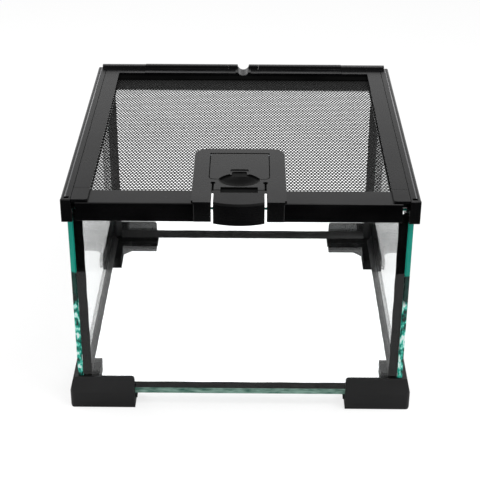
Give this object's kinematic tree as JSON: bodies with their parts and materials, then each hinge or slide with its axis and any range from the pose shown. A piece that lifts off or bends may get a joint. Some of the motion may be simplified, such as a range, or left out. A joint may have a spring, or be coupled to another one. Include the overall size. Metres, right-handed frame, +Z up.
{
  "type": "reptile terrarium",
  "caption": "Glass terrarium on corner feet, with a mesh lid that slides out of a channelled top frame, a sprung front latch and a small feeding hatch.",
  "frame": {"origin": "centre of the outline, at the bottom of the feet", "axes": "+X to the right seen from the front, +Y to the rear, +Z up; the latch faces -Y"},
  "size_m": [0.3066, 0.3152, 0.2137],
  "materials": {
    "glass": "clear float glass with ground green edges",
    "silicone": "black tooled silicone, slight sheen",
    "foot_plastic": "fine spark-eroded moulding",
    "frame_plastic": "satin moulding",
    "lid_plastic": "satin moulding",
    "latch_plastic": "satin moulding",
    "mesh_metal": "black powder-coated perforated sheet",
    "screw_steel": "zinc plated"
  },
  "bodies": {
    "root": {"base_pane": "glass", "front_pane": "glass", "rear_pane": "glass", "left_pane": "glass", "right_pane": "glass", "front_left_seal": "silicone", "front_right_seal": "silicone", "rear_left_seal": "silicone", "rear_right_seal": "silicone", "front_base_seal": "silicone", "rear_base_seal": "silicone", "left_base_seal": "silicone", "right_base_seal": "silicone", "front_left_foot": "foot_plastic", "front_right_foot": "foot_plastic", "rear_left_foot": "foot_plastic", "rear_right_foot": "foot_plastic", "left_rail": "frame_plastic", "right_rail": "frame_plastic", "rear_rail": "frame_plastic", "left_rail_cap": "frame_plastic", "right_rail_cap": "frame_plastic", "left_channel_cover": "frame_plastic", "right_channel_cover": "frame_plastic", "left_rear_strip": "frame_plastic", "right_rear_strip": "frame_plastic", "cable_inlet": "frame_plastic"},
    "lid": {"lid_front_bar": "lid_plastic", "lid_left_bar": "lid_plastic", "lid_right_bar": "lid_plastic", "lid_rear_bar": "lid_plastic", "lid_corner_keys": "lid_plastic", "mesh_screen": "mesh_metal", "latch_housing": "latch_plastic", "latch_backing": "latch_plastic", "latch_screws": "screw_steel", "hatch_pin": "screw_steel"},
    "hatch": {"feed_hatch": "latch_plastic"},
    "tongue": {"latch_tongue": "latch_plastic"}
  },
  "joints": [
    {"name": "lid_slide", "type": "slide", "parent": "root", "child": "lid", "axis": [0, -1, 0], "range_m": [0, 0.3]},
    {"name": "hatch_swing", "type": "hinge", "parent": "lid", "child": "hatch", "pos_m": [-0.0014, -0.05755, 0.2084], "axis": [-1, 0, 0], "range_deg": [0, 105]},
    {"name": "tongue_lift", "type": "hinge", "parent": "lid", "child": "tongue", "pos_m": [-0.0014, -0.12925, 0.20795], "axis": [-1, 0, 0], "range_deg": [0, 12], "stiffness_Nm_per_rad": 0.3, "springref_deg": -2.86}
  ]
}
